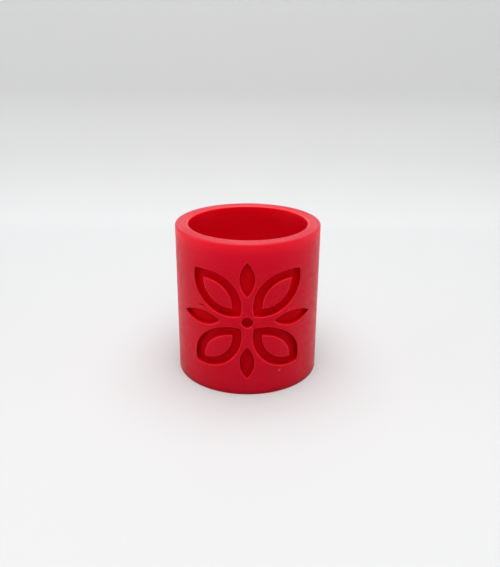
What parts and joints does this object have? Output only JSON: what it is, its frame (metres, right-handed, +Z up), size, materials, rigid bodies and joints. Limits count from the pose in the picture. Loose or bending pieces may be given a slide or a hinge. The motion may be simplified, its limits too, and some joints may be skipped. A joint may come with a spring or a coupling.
{
  "type": "neckerchief slide",
  "caption": "Short open tube that slides over the two rolled tails of a neckerchief and holds them together, with a leaf rosette carved into its front wall.",
  "frame": {"origin": "middle of the flat base, on the tube's axis", "axes": "+Z up along the bore, +X to the wearer's left, and the carved front faces -Y"},
  "size_m": [0.028, 0.028, 0.03],
  "materials": {
    "red_plastic": "satin, with the fine layer lines of a printed part"
  },
  "bodies": {
    "root": {"slide_body": "red_plastic"}
  },
  "joints": []
}
